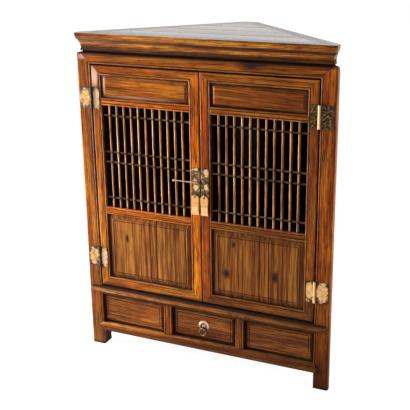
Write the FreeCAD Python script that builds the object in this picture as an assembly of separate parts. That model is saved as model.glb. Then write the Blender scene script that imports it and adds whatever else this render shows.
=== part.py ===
import FreeCAD, Part
import math
import os

# Three-cornered cupboard with two lattice doors and one drawer, in millimetres.
# X runs along the front, Y runs back, Z runs up. Depths are measured back from the front face of the
# posts, and each piece is moved as it is written so that the origin is under the middle of the whole.

V = FreeCAD.Vector
root_two = math.sqrt(2)

# Shared by all joints
cut_overrun = 5.0
joint_clearance = 0.2
slide_gap = 0.3
tongue_length = 7.0
groove_depth = 8.0

# Case
case_width = 872.0
case_height = 1037.0
side_return = 18.0
rear_flat = 48.0

# Quirked bead worked along the inner edges of the framing
bead_width = 5.6
bead_drop = 2.6
quirk_width = 2.2
edge_round = 3.5

# Posts
post_face = 49.5
post_round = 7.0
post_shoulder = 10.0
rear_stile = 46.0

# Rails across the front, with their tenons
rail_depth = 30.0
top_rail_height = 34.0
tenon_length = 20.0
tenon_thickness = 14.0
tenon_inset = 8.0
tenon_shoulder = 6.0

# Waist moulding
waist_bottom = 199.0
waist_height = 29.0
waist_proud = 11.0
waist_overlap = 39.0
waist_rake = 36.0
waist_rake_share = 0.62
waist_tip = 13.0
waist_slope = 9.0
waist_nose = 3.0
waist_lip = 8.0
waist_step = 3.0
waist_foot_proud = 5.0
waist_foot = 4.0
waist_cove_share = 0.15

# Base rail
base_bottom = 56.0
base_height = 30.5
base_proud = 6.5
base_shoulder = 2.0
base_overlap = 14.0
base_point = 8.0

# Drawer row
drawer_opening = 236.0
divider_width = 28.0
divider_depth = 24.0
divider_tenon = 10.0

# Fielded panels
tongue_thickness = 6.0
tongue_depth = 9.0
field_rise = 6.0
field_step = 2.2
field_corner = 6.0
rim_width = 4.5
rim_groove = 2.6
rim_groove_depth = 1.8
upper_field_rise = 8.5
upper_field_step = 1.0
upper_border = 14.0
lower_border = 16.0
base_border = 13.0
base_panel_sink = 5.0
base_field_rise = 7.5
board_gap = 1.0

# Side frames
side_rail_thickness = 14.0
side_top_rail = 60.0
side_mid_rail = 44.0
side_bottom_rail = 44.0
side_tenon = 14.0
side_panel_thickness = 6.0
side_panel_recess = 4.0
side_board_shares = (0.28, 0.5, 0.72)

# Cupboard floor and shelf
floor_thickness = 16.0
floor_drop = 10.0
floor_tongue = 6.0
inside_gap = 0.5
shelf_rise = 5.0
shelf_thickness = 16.0
shelf_setback = 40.0
shelf_gap = 0.8
bearer_width = 18.0
bearer_height = 20.0
bearer_setback = 25.0

# Cornice and top boards
cornice_height = 63.0
cornice_proud = 8.0
cornice_side_reach = -2.0
cornice_depth = 50.0
recess_inset = 18.0
recess_height = 6.5
fillet_inset = 13.0
fillet_height = 5.5
neck_inset = 14.5
neck_height = 8.0
cove_inset = 14.0
cove_height = 22.0
cove_hollow = 0.8
cove_step = 1.5
ovolo_inset = 5.5
ovolo_bulge = 1.6
ovolo_share = 0.54
lip_step = 1.2
lip_height = 3.5
top_rebate = 10.0
top_thickness = 18.0
top_board_shares = (0.2, 0.46, 0.72)
top_board_gap = 0.6

# Doors
door_side_gap = 4.0
door_meeting_gap = 2.0
door_bottom_gap = 5.0
door_top_gap = 5.0
door_thickness = 24.0
hinge_stile_width = 33.0
meeting_stile_width = 35.0
door_top_rail = 30.0
upper_panel_height = 74.0
cross_rail_height = 23.5
lattice_height = 348.0
lower_rail_height = 25.5
door_bottom_rail = 33.0
door_tenon_length = 22.0
door_tenon_thickness = 6.0
door_tenon_inset = 16.5
door_tenon_shoulder = 6.0
left_board_shares = (0.509, 0.587)
right_board_shares = (0.521, 0.621)

# Lattice
upright_count = 11
upright_width = 9.0
upright_front = 4.0
upright_depth = 12.0
upright_socket = 8.0
bar_height = 5.0
bar_depth = 5.0
bar_place_shares = (0.098, 0.45, 0.55, 0.902)

# Hinges
hinge_height = 70.0
upper_hinge_drop = 72.0
lower_hinge_rise = 69.0
frame_leaf_width = 44.0
door_leaf_width = 28.0
leaf_thickness = 1.2
leaf_corner = 3.0
knuckle_radius = 4.0
knuckle_clearance = 0.3
knuckle_gap = 0.4
hinge_pin_radius = 1.6
hinge_pin_clearance = 0.06
hinge_pin_head = 3.0
hinge_pin_head_height = 1.6

# Nails
nail_head = 1.8
nail_head_height = 1.0
nail_shank = 0.7
nail_length = 9.0
nail_clearance = 0.15
nail_edge = 5.5

# Lock plates, eyes, pin and tag pulls
lock_plate_width = 28.0
lock_plate_height = 96.0
lock_plate_rise = 76.0
lock_plate_thickness = 1.5
lock_plate_edge = 1.0
lock_plate_notch = 4.0
eye_wire = 1.3
eye_shank_radius = 1.1
eye_shank_length = 10.0
pin_rise = 49.0
pin_radius = 1.6
pin_clearance = 0.08
pin_length = 88.0
pin_ball = 4.2
pin_tip_back = 3.0
pull_eye_rise = 8.0
pull_eye_radius = 5.0
pull_width = 28.0
pull_height = 66.0
pull_thickness = 2.2
pull_hole = 3.1
pull_hole_drop = 7.0
pull_shoulder = 20.0
pull_waist = 2.6

# Drawer
drawer_gap = 1.2
drawer_front_recess = 8.0
drawer_front_thickness = 18.0
drawer_border = 13.0
drawer_bevel = 6.0
drawer_side_thickness = 10.0
drawer_side_height = 92.0
drawer_length = 242.0
drawer_lap = 6.0
drawer_bottom_thickness = 6.0
drawer_bottom_rise = 6.0
drawer_bottom_groove = 4.0
drawer_back_thickness = 10.0
drawer_lift = 1.7
runner_width = 24.0
runner_height = 20.0
guide_height = 26.0
rosette_radius = 19.0
rosette_dome = 3.0
rosette_rise = 55.5
ring_eye_radius = 5.2
ring_eye_drop = 5.0
ring_radius = 12.0
ring_wire = 2.0

# Worked out from the sizes above
half_width = case_width / 2
post_inner = half_width - post_face
side_sum = half_width + side_return
rear_depth = side_sum - rear_flat / 2
eye_proud = lock_plate_thickness + 2 * (pull_eye_radius + eye_wire)
face_y = (max(waist_proud, base_proud, cornice_proud, eye_proud) - rear_depth) / 2
waist_top = waist_bottom + waist_height
base_top = base_bottom + base_height
top_rail_bottom = case_height - top_rail_height
cornice_top = case_height + cornice_height
door_inner = door_meeting_gap / 2
door_outer = post_inner - door_side_gap
door_bottom = waist_top + door_bottom_gap
door_top = top_rail_bottom - door_top_gap
stile_inner = door_inner + meeting_stile_width
stile_outer = door_outer - hinge_stile_width
upper_panel_top = door_top - door_top_rail
upper_panel_bottom = upper_panel_top - upper_panel_height
lattice_top = upper_panel_bottom - cross_rail_height
lattice_bottom = lattice_top - lattice_height
lower_panel_top = lattice_bottom - lower_rail_height
lower_panel_bottom = door_bottom + door_bottom_rail
shelf_bottom = lower_panel_top + shelf_rise
hinge_x = (post_inner + door_outer) / 2
hinge_y = -knuckle_radius - slide_gap
upper_hinge_bottom = door_top - upper_hinge_drop - hinge_height
lower_hinge_bottom = door_bottom + lower_hinge_rise
lock_x = door_inner + lock_plate_edge + lock_plate_width / 2
lock_face = -lock_plate_thickness
lock_plate_bottom = lattice_bottom + lock_plate_rise
pin_height = lock_plate_bottom + pin_rise
pull_eye_height = lock_plate_bottom + pull_eye_rise
rosette_height = base_top + rosette_rise
divider_inner = drawer_opening / 2
divider_outer = divider_inner + divider_width
side_length = (half_width - rear_flat / 2) * root_two
side_rail_start = (post_face - side_rail_thickness / root_two) * root_two
side_rail_end = side_length - rear_stile


def box(x0, x1, y0, y1, z0, z1):
    return Part.makeBox(x1 - x0, y1 - y0, z1 - z0, V(x0, y0, z0))


def in_plan(x, y):
    return V(x, y, 0)


def in_front(x, z):
    return V(x, 0, z)


def in_section(y, z):
    return V(0, y, z)


def across(z, y):
    return V(0, y, z)


def outline(place, start, *steps):
    # A step is a point for a straight run, or a pair (point passed, end point) for an arc.
    edges = []
    here = start
    for step in steps + (start,):
        is_arc = isinstance(step[0], tuple)
        there = step[1] if is_arc else step
        if is_arc:
            edges.append(Part.Arc(place(*here), place(*step[0]), place(*there)).toShape())
        elif place(*here).distanceToPoint(place(*there)) > 0:
            edges.append(Part.LineSegment(place(*here), place(*there)).toShape())
        here = there
    return Part.Face(Part.Wire(edges))


def prism(face, along):
    solid = face.extrude(along)
    if solid.Volume < 0:
        solid.reverse()
    return solid


def upright(face, z0, z1):
    return prism(face.translated(V(0, 0, z0)), V(0, 0, z1 - z0))


def plate(face, y0, y1):
    return prism(face.translated(V(0, y0, 0)), V(0, y1 - y0, 0))


def run(face, x0, x1):
    return prism(face.translated(V(x0, 0, 0)), V(x1 - x0, 0, 0))


def rod_y(radius, x, y0, y1, z):
    return Part.makeCylinder(radius, y1 - y0, V(x, y0, z), V(0, 1, 0))


def rod_z(radius, x, y, z0, z1):
    return Part.makeCylinder(radius, z1 - z0, V(x, y, z0))


def fused(first, *others):
    return first.fuse(list(others)).removeSplitter() if others else first


def mirrored(shape):
    return shape.mirror(V(0, 0, 0), V(1, 0, 0))


def grown(x0, x1, y0, y1, z0, z1, by=joint_clearance):
    return box(x0 - by, x1 + by, y0 - by, y1 + by, z0 - by, z1 + by)


def write(name, *solids):
    shape = solids[0] if len(solids) == 1 else Part.makeCompound(list(solids))
    shape = shape.translated(V(0, face_y, 0))
    bad = [solid for solid in shape.Solids if solid.Volume <= 0 or not solid.isValid()]
    print(name, len(shape.Solids), "solids", "BAD" if bad or not shape.Solids else "")
    shape.exportStep("parts/" + name + ".step")


def write_pair(name, right):
    write("right_" + name, *right)
    write("left_" + name, *[mirrored(solid) for solid in right])


def bead_steps(edge, inward):
    # Along the face towards the edge: the quirk, then the round of the bead.
    return [
        (edge + inward * (bead_width + quirk_width), 0),
        (edge + inward * bead_width, bead_drop),
        ((edge + inward * bead_width / 2, 0), (edge, bead_drop)),
    ]


def member(place, inner, outer, depth, both=False):
    # Section of a frame member: bead on the inner edge, small round or second bead on the outer edge.
    inward = 1 if outer > inner else -1
    steps = bead_steps(inner, inward)
    steps += [(inner, depth), (outer, depth)]
    if both:
        back = bead_steps(outer, -inward)
        start = back[0]
        steps += [(outer, bead_drop), (back[2][0], back[1])]
    else:
        turn = edge_round * (1 - 1 / root_two)
        start = (outer - inward * edge_round, 0)
        steps += [(outer, edge_round), ((outer - inward * turn, turn), start)]
    return outline(place, start, *steps)


def frustum(x0, x1, z0, z1, y_edge, y_field, inset):
    wires = []
    for y, off in ((y_edge, 0), (y_field, inset)):
        corners = [(x0 + off, z0 + off), (x1 - off, z0 + off), (x1 - off, z1 - off), (x0 + off, z1 - off)]
        wires.append(Part.makePolygon([V(x, y, z) for x, z in corners + corners[:1]]))
    return Part.makeLoft(wires, True, True)


def rounded_plate(x0, x1, z0, z1, y0, y1, corner):
    solid = box(x0, x1, y0, y1, z0, z1)
    corner_edges = [e for e in solid.Edges if abs(e.tangentAt(e.FirstParameter).y) > 1 / root_two]
    return solid.makeFillet(corner, corner_edges)


def rimmed_field(x0, x1, z0, z1, y0, y1):
    # A raised field with a groove scratched just inside its edge.
    solid = rounded_plate(x0, x1, z0, z1, y0, y1, field_corner)
    rings = []
    for inset, corner in ((rim_width, field_corner - rim_width / 2), (rim_width + rim_groove, field_corner / 2)):
        rings.append(rounded_plate(x0 + inset, x1 - inset, z0 + inset, z1 - inset, y0, y0 + rim_groove_depth, corner))
    return solid.cut(rings[0].cut(rings[1]))


def fielded_panel(x0, x1, z0, z1, border, rise, sink=0):
    # A tongue all round, a bevelled border and a raised field that ends in a small step and a rim.
    front = tongue_depth + sink
    field = front - rise
    back = front + tongue_thickness
    tongue = box(x0 - tongue_length, x1 + tongue_length, front, back, z0 - tongue_length, z1 + tongue_length)
    bevel = frustum(x0, x1, z0, z1, front, field + field_step, border)
    return fused(tongue, bevel, rimmed_field(x0 + border, x1 - border, z0 + border, z1 - border, field, back))


def steep_panel(x0, x1, z0, z1):
    # As the others, with a steeper bevel and a plain field.
    back = tongue_depth + tongue_thickness
    field = tongue_depth - upper_field_rise
    tongue = box(x0 - tongue_length, x1 + tongue_length, tongue_depth, back, z0 - tongue_length, z1 + tongue_length)
    bevel = frustum(x0, x1, z0, z1, tongue_depth, field + upper_field_step, upper_border)
    x0, x1, z0, z1 = x0 + upper_border, x1 - upper_border, z0 + upper_border, z1 - upper_border
    return fused(tongue, bevel, rounded_plate(x0, x1, z0, z1, field, back, field_corner))


def panel_groove(x0, x1, z0, z1, sink=0):
    front = tongue_depth + sink - joint_clearance
    back = tongue_depth + sink + tongue_thickness + joint_clearance
    return box(x0 - groove_depth, x1 + groove_depth, front, back, z0 - groove_depth, z1 + groove_depth)


def into_boards(panel, x0, x1, shares):
    bounds = panel.BoundBox
    for share in shares:
        x = x0 + share * (x1 - x0)
        slot = box(x - board_gap / 2, x + board_gap / 2, bounds.YMin, bounds.YMax, bounds.ZMin, bounds.ZMax)
        panel = panel.cut(slot)
    return panel.Solids


def on_side(shape):
    # From a frame along the side (X from the front corner, Y inwards) to the right side of the case.
    placed = shape.copy()
    placed.Placement = FreeCAD.Placement(V(half_width, side_return, 0), FreeCAD.Rotation(V(0, 0, 1), 135))
    return placed


def inside_plan(front, inset, side_stop, rear_stop):
    # Three-cornered board inside the case: inset is how far its edges lie within the side planes.
    total = side_sum - inset * root_two
    right = [(side_stop, front), (side_stop, total - side_stop), (total - rear_stop, rear_stop)]
    left = [(-x, y) for x, y in reversed(right)]
    return outline(in_plan, right[0], *(right[1:] + left))


# Side frames: three rails with tenons, boarded upper panel and plain lower panel
def side_heights():
    top = (case_height - side_top_rail, case_height)
    middle = (waist_top - side_mid_rail, waist_top)
    bottom = (base_bottom, base_bottom + side_bottom_rail)
    return top, middle, bottom


def side_tenons(z0, z1, by):
    y0 = side_rail_thickness / 2 - tongue_thickness / 2
    sizes = (y0, y0 + tongue_thickness, z0 + tenon_shoulder, z1 - tenon_shoulder)
    front = grown(side_rail_start - side_tenon, side_rail_start, *sizes, by)
    rear = grown(side_rail_end, side_rail_end + side_tenon, *sizes, by)
    return front, rear


def side_rails():
    rails = []
    for z0, z1 in side_heights():
        bar = box(side_rail_start, side_rail_end, 0, side_rail_thickness, z0, z1)
        rails.append(fused(bar, *side_tenons(z0, z1, 0)))
    return rails


def side_panel_space(z0, z1, reach, by):
    y0 = side_panel_recess - by
    y1 = side_panel_recess + side_panel_thickness + by
    return box(side_rail_start - reach, side_rail_end + reach, y0, y1, z0 - reach, z1 + reach)


def side_panel_heights():
    top, middle, bottom = side_heights()
    return (middle[1], top[0]), (bottom[1], middle[0])


def side_grooves():
    return [side_panel_space(z0, z1, groove_depth, joint_clearance) for z0, z1 in side_panel_heights()]


def floor_shape(by):
    # The floor board's tongues run into the waist moulding and the side rails.
    inset = side_rail_thickness - floor_tongue - by
    front = rail_depth - floor_tongue - by
    rear_inner = rear_depth - (rear_stile + side_rail_thickness) / root_two
    face = inside_plan(front, inset, post_inner - inside_gap, rear_inner - inside_gap)
    z1 = waist_top - floor_drop
    return upright(face, z1 - floor_thickness - by, z1 + by)


# Tenons of the front rails, and the mitred outline of the top rail
def rail_tenon(z0, height, by):
    y0 = tenon_inset
    return grown(post_inner, post_inner + tenon_length, y0, y0 + tenon_thickness,
                 z0 + tenon_shoulder, z0 + height - tenon_shoulder, by)


def top_rail_outline():
    z0, z1 = top_rail_bottom, case_height
    low, high = post_inner, post_inner + top_rail_height
    return outline(in_front, (low, z0), (high, z1), (-high, z1), (-low, z0))


def base_panel_opening():
    return divider_outer, post_inner, base_top, waist_bottom


def divider_tenons(by):
    y0 = divider_depth / 2 - tongue_thickness / 2
    sides = (divider_inner + tenon_shoulder, divider_outer - tenon_shoulder, y0, y0 + tongue_thickness)
    lower = grown(*sides, base_top - divider_tenon, base_top, by)
    upper = grown(*sides, waist_bottom, waist_bottom + divider_tenon, by)
    return lower, upper


def front_post():
    shoulder = side_rail_thickness / root_two
    turn = post_round * (1 - 1 / root_two)
    start = (half_width - post_round, 0)
    steps = bead_steps(post_inner, 1)
    steps += [
        (post_inner, side_sum - post_inner - 2 * shoulder),
        (post_inner + shoulder, side_sum - post_inner - shoulder),
        (half_width, side_return),
        (half_width, post_round),
        ((half_width - turn, turn), start),
    ]
    post = upright(outline(in_plan, start, *steps), 0, case_height)
    # Its outer top corner is rounded over.
    edge, top = half_width - post_shoulder, case_height - post_shoulder
    far = side_return + post_face
    corner = box(edge, half_width, -cut_overrun, far, top, case_height)
    cuts = [corner.cut(rod_y(post_shoulder, edge, -cut_overrun, far, top))]
    cuts += [plate(top_rail_outline(), -cut_overrun, rail_depth)]
    cuts += [rail_tenon(waist_bottom, waist_height, joint_clearance)]
    cuts += [rail_tenon(base_bottom, base_height, joint_clearance)]
    cuts += [panel_groove(*base_panel_opening(), base_panel_sink)]
    cuts += [on_side(groove) for groove in side_grooves()]
    cuts += [on_side(side_tenons(*heights, joint_clearance)[0]) for heights in side_heights()]
    return post.cut(cuts)


def rear_post():
    out = rear_stile / root_two
    shoulder = side_rail_thickness / root_two
    right = [
        (rear_flat / 2, rear_depth),
        (rear_flat / 2 + out, rear_depth - out),
        (rear_flat / 2 + out - shoulder, rear_depth - out - shoulder),
    ]
    left = [(-x, y) for x, y in reversed(right)]
    post = upright(outline(in_plan, right[0], *(right[1:] + left)), 0, case_height)
    cuts = [on_side(groove) for groove in side_grooves()]
    cuts += [on_side(side_tenons(*heights, joint_clearance)[1]) for heights in side_heights()]
    return post.cut(cuts + [mirrored(cut) for cut in cuts])


def top_rail():
    section = member(across, top_rail_bottom, case_height, rail_depth)
    reach = post_inner + top_rail_height
    return run(section, -reach, reach).common(plate(top_rail_outline(), -cut_overrun, rail_depth))


def waist_moulding():
    z0, z1 = waist_bottom, waist_top
    nose_top = z1 - waist_slope
    nose_low = nose_top - waist_nose
    lip_low = nose_low - waist_lip
    lip_back = waist_step - waist_proud
    turn = waist_nose * (1 - 1 / root_two)
    cove_y = -waist_foot_proud + waist_cove_share * (lip_back + waist_foot_proud)
    section = outline(
        in_section, (0, z1), (waist_nose - waist_proud, nose_top),
        ((turn - waist_proud, nose_top - turn), (-waist_proud, nose_low)), (-waist_proud, lip_low),
        (lip_back, lip_low), ((cove_y, (lip_low + z0 + waist_foot) / 2), (-waist_foot_proud, z0 + waist_foot)),
        (-waist_foot_proud, z0), (0, z0))
    # Each end rakes out to a tip that is rounded over at the top.
    reach = post_inner + waist_overlap
    rake_top = z0 + waist_rake_share * waist_height
    tip = reach - waist_tip
    passed = (reach - waist_tip * (1 - 1 / root_two), z1 - (z1 - rake_top) * (1 - 1 / root_two))
    ends = outline(in_front, (reach - waist_rake, z0), (reach, rake_top), (passed, (tip, z1)), (-tip, z1),
                   ((-passed[0], passed[1]), (-reach, rake_top)), (waist_rake - reach, z0))
    moulding = run(section, -reach, reach).common(plate(ends, -waist_proud, 0))
    tenon = rail_tenon(z0, waist_height, 0)
    rail = fused(box(-post_inner, post_inner, 0, rail_depth, z0, z1), moulding, tenon, mirrored(tenon))
    cuts = [floor_shape(joint_clearance)]
    for cut in (panel_groove(*base_panel_opening(), base_panel_sink), divider_tenons(joint_clearance)[1]):
        cuts += [cut, mirrored(cut)]
    return rail.cut(cuts)


def base_rail():
    z0, z1 = base_bottom, base_top
    middle = (z0 + z1) / 2
    section = outline(in_section, (0, z1), (-base_shoulder, z1),
                      ((-base_proud, middle), (-base_shoulder, z0)), (0, z0))
    reach = post_inner + base_overlap
    ends = outline(in_front, (reach - base_point, z0), (reach, middle), (reach - base_point, z1),
                   (base_point - reach, z1), (-reach, middle), (base_point - reach, z0))
    nose = run(section, -reach, reach).common(plate(ends, -base_proud, 0))
    tenon = rail_tenon(z0, base_height, 0)
    rail = fused(box(-post_inner, post_inner, 0, rail_depth, z0, z1), nose, tenon, mirrored(tenon))
    cuts = []
    for cut in (panel_groove(*base_panel_opening(), base_panel_sink), divider_tenons(joint_clearance)[0]):
        cuts += [cut, mirrored(cut)]
    return rail.cut(cuts)


def divider():
    face = member(in_plan, divider_inner, divider_outer, divider_depth, both=True)
    post = fused(upright(face, base_top, waist_bottom), *divider_tenons(0))
    return post.cut(panel_groove(*base_panel_opening(), base_panel_sink))


# Cornice: a prism on the lip's outline, cut back along its front edges to the moulding's section
def cornice_outline(inset):
    front = inset - cornice_proud
    reach = half_width + cornice_side_reach - inset
    total = side_sum - inset * root_two
    rear = rear_depth - inset
    if total - reach > front:
        right = [(reach, front), (reach, total - reach), (total - rear, rear)]
    else:
        right = [(total - front, front), (total - rear, rear)]
    return right + [(-x, y) for x, y in reversed(right)]


def cornice_waste():
    # What the moulding's section leaves away, from under the lip out past it.
    recess = case_height + recess_height
    fillet = recess + fillet_height
    neck = fillet + neck_height
    cove = neck + cove_height
    lip = cornice_top - lip_height
    cove_start = ovolo_inset + cove_step
    cove_at = ((cove_start + cove_inset) / 2 + cove_hollow, (cove + neck) / 2)
    ovolo_at = (ovolo_bulge, lip - ovolo_share * (lip - cove))
    return outline(
        in_section, (-cut_overrun, lip), (lip_step, lip), (ovolo_at, (ovolo_inset, cove)), (cove_start, cove),
        (cove_at, (cove_inset, neck)), (neck_inset, neck), (neck_inset, fillet), (fillet_inset, fillet),
        (fillet_inset, recess), (recess_inset, recess), (recess_inset, case_height - cut_overrun),
        (-cut_overrun, case_height - cut_overrun))


def cornice():
    corners = cornice_outline(0)
    ring = upright(outline(in_plan, *corners), case_height, cornice_top)
    waste = cornice_waste()
    edges = list(zip(corners, corners[1:] + corners[:1]))
    # The moulding runs along the front and the two square returns, and dies into the flat sides.
    for here, there in (edges[0], edges[-2], edges[-1]):
        length = math.dist(here, there)
        angle = math.degrees(math.atan2(there[1] - here[1], there[0] - here[0]))
        strip = run(waste, -length, 2 * length)
        strip.Placement = FreeCAD.Placement(V(here[0], here[1], 0), FreeCAD.Rotation(V(0, 0, 1), angle))
        ring = ring.cut(strip)
    hollow = outline(in_plan, *cornice_outline(cornice_depth))
    rebate = outline(in_plan, *cornice_outline(cornice_depth - top_rebate))
    ledge = cornice_top - top_thickness
    ring = ring.cut([upright(hollow, case_height - cut_overrun, cornice_top),
                     upright(rebate, ledge, cornice_top + cut_overrun)])
    # The front is mitred into the sides: at the square corner first, then along the blunter bisector.
    turn = (cornice_proud + side_return - cornice_side_reach) / root_two
    mitre = [cornice_outline(inset)[0] for inset in (0, turn, cornice_depth + cut_overrun)]
    wedge = upright(outline(in_plan, *(mitre + [(-x, y) for x, y in reversed(mitre)])),
                    case_height - cut_overrun, cornice_top + cut_overrun)
    front = ring.common(wedge)
    half = box(0, case_width, -case_width, case_width, 0, cornice_top + cut_overrun)
    right = ring.cut(wedge).common(half)
    return front, right


def top_boards():
    face = outline(in_plan, *cornice_outline(cornice_depth - top_rebate + joint_clearance))
    top = upright(face, cornice_top - top_thickness, cornice_top)
    bounds = top.BoundBox
    for share in top_board_shares:
        y = bounds.YMin + share * bounds.YLength
        top = top.cut(box(bounds.XMin, bounds.XMax, y - top_board_gap / 2, y + top_board_gap / 2,
                          bounds.ZMin, bounds.ZMax))
    return top.Solids


# Right-hand door; the left is its mirror
def door_tenon(z0, z1, by):
    y0, y1 = door_tenon_inset, door_tenon_inset + door_tenon_thickness
    return grown(stile_inner - door_tenon_length, stile_outer + door_tenon_length, y0, y1,
                 z0 + door_tenon_shoulder, z1 - door_tenon_shoulder, by)


def door_rail_heights():
    return (
        (upper_panel_top, door_top), (lattice_top, upper_panel_bottom),
        (lower_panel_top, lattice_bottom), (door_bottom, lower_panel_bottom),
    )


def door_grooves():
    return [
        panel_groove(stile_inner, stile_outer, upper_panel_bottom, upper_panel_top),
        panel_groove(stile_inner, stile_outer, lower_panel_bottom, lower_panel_top),
    ]


def bar_places():
    return [lattice_bottom + share * lattice_height for share in bar_place_shares]


def lattice_bar(z, by):
    middle = upright_front + upright_depth / 2
    return grown(stile_inner - upright_socket, stile_outer + upright_socket, middle - bar_depth / 2,
                 middle + bar_depth / 2, z - bar_height / 2, z + bar_height / 2, by)


def lattice_upright(x, by):
    half = upright_width / 2 + by
    y0 = upright_front - by
    y1 = upright_front + upright_depth + by
    face = outline(in_plan, (x - half, y1), (x - half, y0 + half), ((x, y0), (x + half, y0 + half)),
                   (x + half, y1))
    return upright(face, lattice_bottom - upright_socket - by, lattice_top + upright_socket + by)


def upright_places():
    pitch = (stile_outer - stile_inner) / (upright_count + 1)
    return [stile_inner + pitch * (k + 1) for k in range(upright_count)]


def door_stiles():
    cuts = door_grooves()
    cuts += [door_tenon(z0, z1, joint_clearance) for z0, z1 in door_rail_heights()]
    cuts += [lattice_bar(z, joint_clearance) for z in bar_places()]
    stiles = []
    for inner, outer in ((stile_outer, door_outer), (stile_inner, door_inner)):
        length = upright(member(in_plan, inner, outer, door_thickness), door_bottom, door_top)
        mitres = outline(in_front, (outer, door_bottom), (inner, lower_panel_bottom),
                         (inner, upper_panel_top), (outer, door_top))
        stiles.append(length.common(plate(mitres, -cut_overrun, door_thickness)).cut(cuts))
    return stiles


def door_rails():
    sockets = [lattice_upright(x, joint_clearance) for x in upright_places()]
    cuts = door_grooves() + sockets
    top, upper, lower, bottom = door_rail_heights()
    rails = []
    for inner, outer in (top, bottom[::-1]):
        length = run(member(across, inner, outer, door_thickness), door_inner, door_outer)
        mitres = outline(in_front, (stile_inner, inner), (stile_outer, inner), (door_outer, outer),
                         (door_inner, outer))
        length = length.common(plate(mitres, -cut_overrun, door_thickness))
        rails.append(fused(length, door_tenon(*sorted((inner, outer)), 0)).cut(cuts))
    for z0, z1 in (upper, lower):
        length = run(member(across, z0, z1, door_thickness, both=True), stile_inner, stile_outer)
        rails.append(fused(length, door_tenon(z0, z1, 0)).cut(cuts))
    return rails


def lattice():
    bars = [lattice_bar(z, 0) for z in bar_places()]
    holes = [lattice_bar(z, joint_clearance) for z in bar_places()]
    uprights = [lattice_upright(x, 0).cut(holes) for x in upright_places()]
    return uprights, bars


# Hinges
def nail(x, z, seat):
    # A domed head on the plate's face, and a shank into the wood.
    lift = (nail_head ** 2 - nail_head_height ** 2) / (2 * nail_head_height)
    radius = lift + nail_head_height
    ball = Part.makeSphere(radius, V(x, seat + lift, z))
    reach = 2 * radius
    dome = ball.common(box(x - reach, x + reach, seat - reach, seat, z - reach, z + reach))
    return fused(dome, rod_y(nail_shank, x, seat, seat + nail_length, z))


def nail_hole(x, z):
    return rod_y(nail_shank + nail_clearance, x, -cut_overrun, cut_overrun, z)


def hinge_nail_places(z0):
    # One in each corner, and one halfway up the outer edge.
    heights = (z0 + nail_edge, z0 + hinge_height - nail_edge)
    frame_x = (hinge_x + knuckle_radius + nail_edge, hinge_x + frame_leaf_width - nail_edge)
    door_x = hinge_x - door_leaf_width + nail_edge
    halfway = z0 + hinge_height / 2
    frame = [(x, z) for x in frame_x for z in heights] + [(frame_x[1], halfway)]
    return frame, [(door_x, z) for z in heights] + [(door_x, halfway)]


def hinge(z0):
    z1 = z0 + hinge_height
    third = hinge_height / 3
    middle = (z0 + third, z1 - third)
    ends = ((z0, middle[0] - knuckle_gap), (middle[1] + knuckle_gap, z1))
    clear = knuckle_radius + knuckle_clearance
    bore = rod_z(hinge_pin_radius + hinge_pin_clearance, hinge_x, hinge_y, z0 - cut_overrun, z1 + cut_overrun)
    frame_nails, door_nails = hinge_nail_places(z0)
    corner_reach = hinge_x - leaf_corner * 2
    frame = rounded_plate(corner_reach, hinge_x + frame_leaf_width, z0, z1, -leaf_thickness, 0, leaf_corner)
    frame = frame.cut(box(corner_reach, hinge_x, -leaf_thickness, 0, z0, z1))
    frame = frame.cut(rod_z(clear, hinge_x, hinge_y, middle[0] - knuckle_gap, middle[1] + knuckle_gap))
    frame = fused(frame, *[rod_z(knuckle_radius, hinge_x, hinge_y, *end) for end in ends])
    frame = frame.cut([bore] + [nail_hole(*place) for place in frame_nails])
    corner_reach = hinge_x + leaf_corner * 2
    door = rounded_plate(hinge_x - door_leaf_width, corner_reach, z0, z1, -leaf_thickness, 0, leaf_corner)
    door = door.cut(box(hinge_x, corner_reach, -leaf_thickness, 0, z0, z1))
    door = door.cut([rod_z(clear, hinge_x, hinge_y, *end) for end in ((z0, middle[0]), (middle[1], z1))])
    door = fused(door, rod_z(knuckle_radius, hinge_x, hinge_y, *middle))
    door = door.cut([bore] + [nail_hole(*place) for place in door_nails])
    pin = fused(rod_z(hinge_pin_radius, hinge_x, hinge_y, z0, z1),
                rod_z(hinge_pin_head, hinge_x, hinge_y, z1, z1 + hinge_pin_head_height))
    return frame, door, pin


# Lock furniture of the right-hand door
def eye(radius, z):
    y = lock_face - radius - eye_wire
    ring = Part.makeTorus(radius, eye_wire, V(lock_x, y, z), V(1, 0, 0))
    return fused(ring, rod_y(eye_shank_radius, lock_x, y + radius, eye_shank_length, z))


def pin_eye_radius():
    return pin_radius + pin_clearance + eye_wire


def lock_nail_places():
    x0, x1 = lock_x - lock_plate_width / 2 + nail_edge, lock_x + lock_plate_width / 2 - nail_edge
    z0 = lock_plate_bottom + lock_plate_notch + nail_edge
    z1 = lock_plate_bottom + lock_plate_height - lock_plate_notch - nail_edge
    return [(x, z) for x in (x0, x1) for z in (z0, z1)]


def lock_plate():
    x0, x1 = lock_x - lock_plate_width / 2, lock_x + lock_plate_width / 2
    z0, z1 = lock_plate_bottom, lock_plate_bottom + lock_plate_height
    body = box(x0, x1, lock_face, 0, z0, z1)
    places = [(x, z) for x in (x0, x1) for z in (z0, (z0 + z1) / 2, z1)]
    scoops = [rod_y(lock_plate_notch, x, lock_face, 0, z) for x, z in places]
    eyes = [rod_y(eye_shank_radius + nail_clearance, lock_x, lock_face, 0, z)
            for z in (pin_height, pull_eye_height)]
    return body.cut(scoops + eyes + [nail_hole(*place) for place in lock_nail_places()])


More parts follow.
